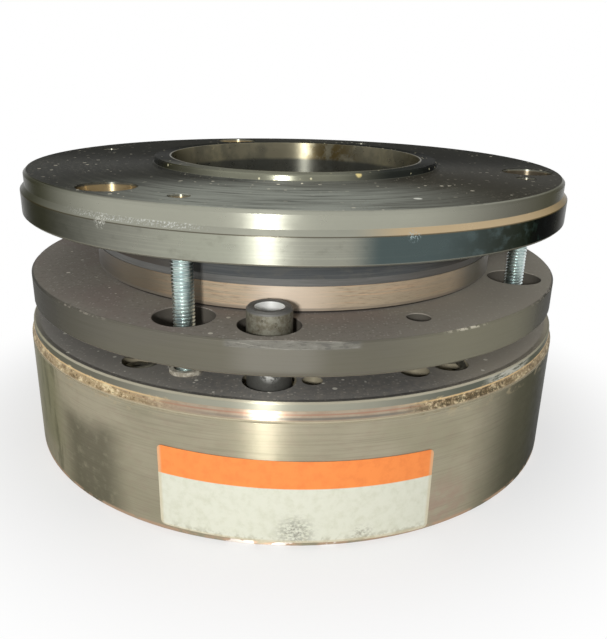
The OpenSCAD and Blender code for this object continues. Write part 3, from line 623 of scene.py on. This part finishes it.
f = Finish("machined_hub_steel", (124, 124, 119), 0.85, 0.34)
cut = f.noise((1.5, 1.5, 0.2), 4, 0.6)
f.lay(f.rise(cut, 0.4, 0.7), (145, 144, 138))
f.lay(f.rise(f.noise((0.15, 0.15, 0.15), 4, 0.6), 0.5, 0.65), (95, 89, 77), 0.5)
f.vary("Roughness", cut, 0.28, 0.5)
f.bump(cut, 0.2, 0.04, edge=0.15)
nodes["splined_hub"].material_slots[0].material = f.material

# Six pressure springs of round wire, closed at both ends, stand in pockets of the magnet body and lift the
# armature plate. Each is wound from one wire.
spring_low, spring_high = (corner.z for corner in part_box("pressure_spring_1"))
wire_r, coil_r, wire_sides = 0.85 * mm, 3.25 * mm, 8
coils, closed_coils, wire_steps, coil_play = 7, 2, 20, 1.06
spring_circle, spring_turns = 64 * mm, (-123, -55, 2, 53, 127, 178)


def copies(thing, names):
    """The finished thing under the first name, and copies with their own mesh under the others."""
    thing.name = names[0]
    made = [thing]
    for name in names[1:]:
        copy = thing.copy()
        copy.data = thing.data.copy()
        copy.name = name
        bpy.context.collection.objects.link(copy)
        made.append(copy)
    return made


bpy.ops.object.select_all(action="DESELECT")
bpy.ops.mesh.primitive_circle_add(vertices=wire_sides, radius=wire_r, rotation=(math.pi / 2, 0, 0),
                                  location=(coil_r, 0, spring_low + wire_r))
spring = bpy.context.object
bpy.ops.object.transform_apply(location=True, rotation=True)
closed_step = 2 * wire_r * coil_play
open_coils = coils - closed_coils
open_step = (spring_high - spring_low - 2 * wire_r - closed_coils * closed_step) / open_coils
bpy.ops.object.mode_set(mode="EDIT")
bpy.ops.mesh.select_all(action="SELECT")
for step, count in ((closed_step, 1), (open_step, open_coils), (closed_step, 1)):
    for _ in range(count * wire_steps):
        bpy.ops.mesh.extrude_region_move(TRANSFORM_OT_translate={"value": (0, 0, step / wire_steps)})
        bpy.ops.transform.rotate(value=-math.tau / wire_steps, orient_axis="Z", center_override=(0, 0, 0))
bpy.ops.mesh.select_all(action="SELECT")
bpy.ops.mesh.fill_holes(sides=wire_sides)
bpy.ops.mesh.normals_make_consistent(inside=False)
bpy.ops.object.mode_set(mode="OBJECT")
bpy.ops.object.shade_smooth_by_angle(angle=math.radians(60))
f = Finish("oiled_spring_wire", (127, 124, 112), 0.8, 0.36)
drawn = f.noise((0.8, 0.8, 0.8), 3, 0.6)
f.lay(f.rise(drawn, 0.35, 0.7), (151, 146, 129))
f.vary("Roughness", drawn, 0.24, 0.46)
f.bump(drawn, 0.1, 0.03)
spring.data.materials.append(f.material)
for made, turn in zip(copies(spring, [f"wound_spring_{n}" for n in range(1, 7)]), spring_turns):
    on_circle = Matrix.Translation((spring_circle, 0, 0))
    made.data.transform(Matrix.Rotation(math.radians(turn), 4, "Z") @ on_circle)
    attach(made, "stator")
    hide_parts(made.name.replace("wound", "pressure"))
    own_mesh(made)

# Four long socket screws M5 are rolled from steel and plated with blue zinc. They stand in counterbores
# of the underside, pass through the magnet body and the armature plate and end in the flange's thread.
screw_seat, screw_tip, pitch = 7 * mm, 67 * mm, 0.8 * mm
crest, root, crest_low, crest_high = 2.44 * mm, 1.98 * mm, 0.42, 0.58
screw_circle, screw_turns = 63.5 * mm, (-112, -22, 68, 158)
head_r, head_h, head_edge, key_across = 4.25 * mm, 5 * mm, 0.35 * mm, 4 * mm
thread_steps, same_spot = 20, 0.01 * mm
bpy.ops.object.select_all(action="DESELECT")
bpy.ops.mesh.primitive_plane_add(size=pitch, location=(crest, 0, screw_seat), rotation=(math.pi / 2, 0, 0))
screw = bpy.context.object
bpy.ops.object.transform_apply(location=True, rotation=True)
bpy.ops.object.mode_set(mode="EDIT")
bpy.ops.mesh.select_mode(type="EDGE")
bpy.ops.mesh.select_all(action="SELECT")
bpy.ops.mesh.delete(type="ONLY_FACE")
bpy.ops.mesh.select_all(action="DESELECT")
bpy.ops.object.mode_set(mode="OBJECT")
inner = [v.index for v in screw.data.vertices if v.co.x < crest]
for vertex in screw.data.vertices:
    upper = vertex.co.z > screw_seat
    if vertex.index in inner:
        vertex.co = (root, 0, screw_seat + (pitch if upper else 0))
    else:
        vertex.co = (crest, 0, screw_seat + (crest_high if upper else crest_low) * pitch)
for edge in screw.data.edges:
    edge.select = set(edge.vertices) == set(inner)
bpy.ops.object.mode_set(mode="EDIT")
bpy.ops.mesh.delete(type="EDGE")
bpy.ops.object.mode_set(mode="OBJECT")
winding = screw.modifiers.new("winding", "SCREW")
winding.axis = "Z"
winding.angle = math.tau
winding.screw_offset = pitch
winding.iterations = round((screw_tip - screw_seat) / pitch) - 1
winding.steps = winding.render_steps = thread_steps
winding.use_merge_vertices = True
winding.merge_threshold = same_spot
bpy.ops.object.modifier_apply(modifier="winding")
bpy.ops.object.mode_set(mode="EDIT")
bpy.ops.mesh.select_mode(type="VERT")
bpy.ops.mesh.select_all(action="SELECT")
bpy.ops.mesh.remove_doubles(threshold=same_spot)
bpy.ops.mesh.fill_holes(sides=0)
bpy.ops.mesh.normals_make_consistent(inside=False)
bpy.ops.object.mode_set(mode="OBJECT")

bpy.ops.mesh.primitive_cylinder_add(vertices=48, radius=head_r, depth=head_h,
                                    location=(0, 0, screw_seat - head_h / 2))
head = bpy.context.object
bpy.ops.object.transform_apply(location=True)
bpy.ops.object.mode_set(mode="EDIT")
bpy.ops.mesh.select_all(action="SELECT")
bpy.ops.mesh.bevel(offset=head_edge, segments=2, affect="EDGES")
bpy.ops.object.mode_set(mode="OBJECT")
bpy.ops.mesh.primitive_cylinder_add(vertices=6, radius=key_across / 2 / math.cos(math.pi / 6), depth=head_h,
                                    location=(0, 0, screw_seat - head_h))
key_hole = bpy.context.object
cut = head.modifiers.new("key_hole", "BOOLEAN")
cut.object = key_hole
cut.operation = "DIFFERENCE"
cut.solver = "EXACT"
bpy.context.view_layer.objects.active = head
bpy.ops.object.modifier_apply(modifier="key_hole")
bpy.data.objects.remove(key_hole)
bpy.ops.object.select_all(action="DESELECT")
screw.select_set(True)
head.select_set(True)
bpy.context.view_layer.objects.active = screw
bpy.ops.object.join()
bpy.ops.object.shade_smooth_by_angle(angle=math.radians(32))
f = Finish("blue_zinc", (220, 230, 226), 1.0, 0.26)
tone = f.noise((0.7, 0.7, 0.7), 3, 0.6)
f.lay(f.rise(tone, 0.35, 0.7), (194, 207, 207))
f.lay(f.rise(f.noise((0.3, 0.3, 0.2), 4, 0.7), 0.6, 0.7), (125, 123, 112), 0.5)
f.vary("Roughness", tone, 0.22, 0.4)
f.bump(tone, 0.05, 0.03)
screw.data.materials.clear()
screw.data.materials.append(f.material)
for made, turn in zip(copies(screw, [f"long_screw_{n}" for n in range(1, 5)]), screw_turns):
    on_circle = Matrix.Translation((screw_circle, 0, 0))
    made.data.transform(Matrix.Rotation(math.radians(turn), 4, "Z") @ on_circle)
    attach(made, "stator")
    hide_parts("fixing_screws")

# The label is printed foil glued round the front of the wall, a little askew: an orange strip over an
# off-white field, with rounded corners, worn ends and dirt along its lower edge.
label_low, label_high = 1.8 * mm, 22.15 * mm
label_in, foil_t, corner_r = 75.05 * mm, 0.1 * mm, 1.1 * mm
label_start, label_angle, askew = math.radians(-112.75), math.radians(47.5), -0.9 * mm
label_tall, label_steps, end_reach = label_high - label_low, 48, 0.002
strip_edge, strip_lean, label_middle = (14.9, 15.0), 0.0116, 89


def point_pick(thing, rule):
    """Selects the points of a thing that a rule on their place names, in edit mode."""
    bpy.context.view_layer.objects.active = thing
    bpy.ops.object.mode_set(mode="EDIT")
    bpy.ops.mesh.select_mode(type="VERT")
    bpy.ops.mesh.select_all(action="DESELECT")
    bpy.ops.object.mode_set(mode="OBJECT")
    for vertex in thing.data.vertices:
        vertex.select = rule(vertex.co)
    bpy.ops.object.mode_set(mode="EDIT")


bpy.ops.object.select_all(action="DESELECT")
bpy.ops.mesh.primitive_plane_add(size=label_tall, rotation=(math.pi / 2, 0, 0),
                                 location=(label_in - label_tall / 2, 0, label_low + label_tall / 2))
label = bpy.context.object
label.name = "wall_label"
bpy.ops.object.transform_apply(location=True, rotation=True)
point_pick(label, lambda co: co.x < label_in - label_tall / 2)
bpy.ops.mesh.delete(type="VERT")
bpy.ops.object.mode_set(mode="OBJECT")
label.data.transform(Matrix.Rotation(label_start, 4, "Z"))
round_wall = label.modifiers.new("round_wall", "SCREW")
round_wall.axis = "Z"
round_wall.angle = label_angle
round_wall.screw_offset = askew
round_wall.steps = round_wall.render_steps = label_steps
bpy.ops.object.modifier_apply(modifier="round_wall")
ends = [label_start, label_start + label_angle]
point_pick(label, lambda co: min(abs(math.atan2(co.y, co.x) - end) for end in ends) < end_reach)
bpy.ops.mesh.bevel(offset=corner_r, segments=4, affect="VERTICES")
bpy.ops.mesh.select_all(action="SELECT")
bpy.ops.mesh.normals_make_consistent(inside=False)
bpy.ops.object.mode_set(mode="OBJECT")
middle = label.data.polygons[len(label.data.polygons) // 2]
if middle.normal.x * middle.center.x + middle.normal.y * middle.center.y < 0:
    label.data.flip_normals()
foil = label.modifiers.new("foil", "SOLIDIFY")
foil.thickness = foil_t
foil.offset = 1
bpy.ops.object.modifier_apply(modifier="foil")
bpy.ops.object.shade_smooth_by_angle(angle=math.radians(30))
f = Finish("worn_two_colour_foil", (206, 207, 191), 0.0, 0.42)
soil = f.noise((0.5, 0.5, 0.5), 5, 0.65)
fine_soil = f.noise((2.2, 2.2, 2.2), 4, 0.7)
f.lay(f.rise(soil, 0.4, 0.75), (192, 193, 173), 0.8)
height = f.maths("ADD", f.z, f.maths("MULTIPLY", f.maths("ADD", f.turn, label_middle), strip_lean))
f.lay(f.rise(height, *strip_edge), (232, 134, 62))
f.lay(f.all_of(f.rise(height, 15.0, 15.1), f.rise(soil, 0.4, 0.7)), (220, 120, 54), 0.7)
rubs = f.noise((1.3, 1.3, 2.0), 3, 0.6)
f.lay(f.all_of(f.near((1.2, -75, 3.8), 6, 0.9), f.rise(rubs, 0.36, 0.66)), (110, 108, 97), 0.8)
f.lay(f.all_of(f.near((16, -73.2, 2.6), 3.5, 0.9), f.rise(rubs, 0.4, 0.66)), (120, 114, 99), 0.7)
f.lay(f.all_of(f.rise(height, 3.4, 1.6), f.rise(soil, 0.45, 0.6)), (140, 134, 112), 0.5)
f.lay(f.rise(fine_soil, 0.71, 0.76), (96, 88, 70), 0.8)
rim = f.maths("MAXIMUM", f.rise(f.turn, -111.9, -112.5), f.rise(f.turn, -66.1, -65.5))
f.lay(f.maths("MAXIMUM", rim, f.rise(height, 2.1, 1.6)), (190, 176, 142), 0.55)
f.vary("Roughness", soil, 0.44, 0.62)
f.bump(soil, 0.12, 0.1)
label.data.materials.clear()
label.data.materials.append(f.material)
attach(label, "stator")
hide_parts("rating_label")

# The cable inlet at the back holds a moulded rubber grommet: a round head with a soft outer lip that sits
# in the wall's recess, and a neck that runs through the wall to the coil.
inlet_z, neck_end, head_seat = 17.5 * mm, 54 * mm, 71.5 * mm
hole_r, neck_r, lip_r = 2.5 * mm, 4.5 * mm, 5.5 * mm
lip_steps = ((neck_r, 0), (neck_r, head_seat - neck_end), (lip_r, 0), (lip_r, 1.9 * mm),
             (lip_r - 0.5 * mm, 0.8 * mm), (3.9 * mm, 0.2 * mm), (3.1 * mm, -0.4 * mm), (hole_r, -0.5 * mm))
bpy.ops.object.select_all(action="DESELECT")
bpy.ops.mesh.primitive_circle_add(vertices=48, radius=hole_r, location=(0, neck_end, inlet_z),
                                  rotation=(math.pi / 2, 0, 0))
grommet = bpy.context.object
grommet.name = "moulded_grommet"
bpy.ops.object.transform_apply(location=True, rotation=True)
bpy.ops.object.mode_set(mode="EDIT")
bpy.ops.mesh.select_all(action="SELECT")
reached = hole_r
for next_r, onward in lip_steps:
    bpy.ops.mesh.extrude_region_move(TRANSFORM_OT_translate={"value": (0, onward, 0)})
    bpy.ops.transform.resize(value=(next_r / reached, 1, next_r / reached), center_override=(0, 0, inlet_z))
    reached = next_r
bpy.ops.object.mode_set(mode="OBJECT")
point_pick(grommet, lambda co: math.hypot(co.x, co.z - inlet_z) < hole_r + 0.01 * mm)
bpy.ops.mesh.bridge_edge_loops()
bpy.ops.mesh.select_all(action="SELECT")
bpy.ops.mesh.normals_make_consistent(inside=False)
bpy.ops.object.mode_set(mode="OBJECT")
bpy.ops.object.shade_smooth_by_angle(angle=math.radians(50))
f = Finish("black_rubber", (34, 34, 34), 0.0, 0.65)
bloom = f.noise((0.6, 0.6, 0.6), 4, 0.6)
f.lay(f.rise(bloom, 0.4, 0.7), (60, 58, 55))
f.bump(bloom, 0.2, 0.05)
grommet.data.materials.append(f.material)
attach(grommet, "stator")
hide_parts("cable_grommet")
